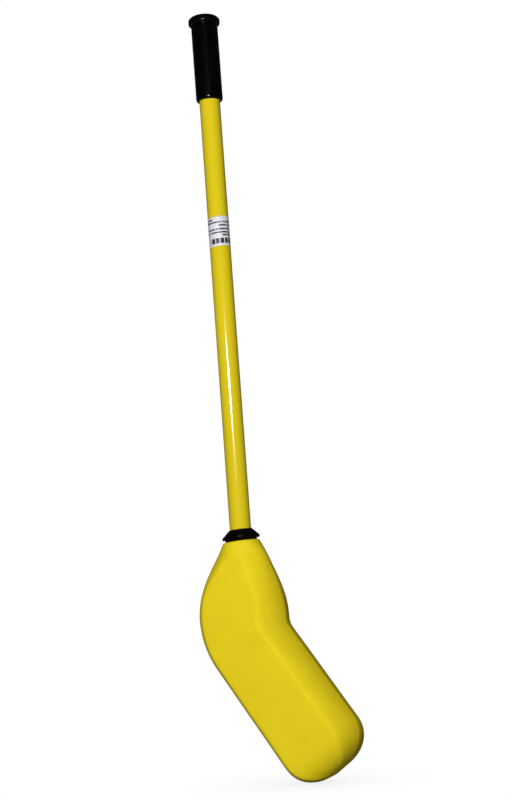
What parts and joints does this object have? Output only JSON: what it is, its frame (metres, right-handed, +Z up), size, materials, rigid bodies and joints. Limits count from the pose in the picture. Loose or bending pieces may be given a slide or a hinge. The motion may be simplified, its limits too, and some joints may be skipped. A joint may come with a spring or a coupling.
{
  "type": "padded play stick",
  "caption": "Hand-held play stick: a round yellow shaft with a flanged black grip and a bent, padded yellow head.",
  "frame": {"origin": "on the shaft's axis, in the middle of the plain part of the hand grip", "axes": "+Z up the shaft towards the grip's closed end, +X towards the blade's toe, the blade's flat faces look along -Y and +Y"},
  "size_m": [0.1938, 0.0742, 0.9278],
  "materials": {
    "shaft_plastic": "gloss",
    "grip_vinyl": "satin",
    "plug_plastic": "matte",
    "label_film": "satin",
    "collar_rubber": "satin",
    "head_skin": "satin",
    "head_foam": "matte",
    "pin_plastic": "matte"
  },
  "bodies": {
    "root": {"shaft_tube": "shaft_plastic", "grip": "grip_vinyl", "butt_plug": "plug_plastic", "wrap_label": "label_film", "neck_collar": "collar_rubber", "head_skin": "head_skin", "head_core": "head_foam", "tip_plug": "plug_plastic", "cross_pin": "pin_plastic"}
  },
  "joints": []
}
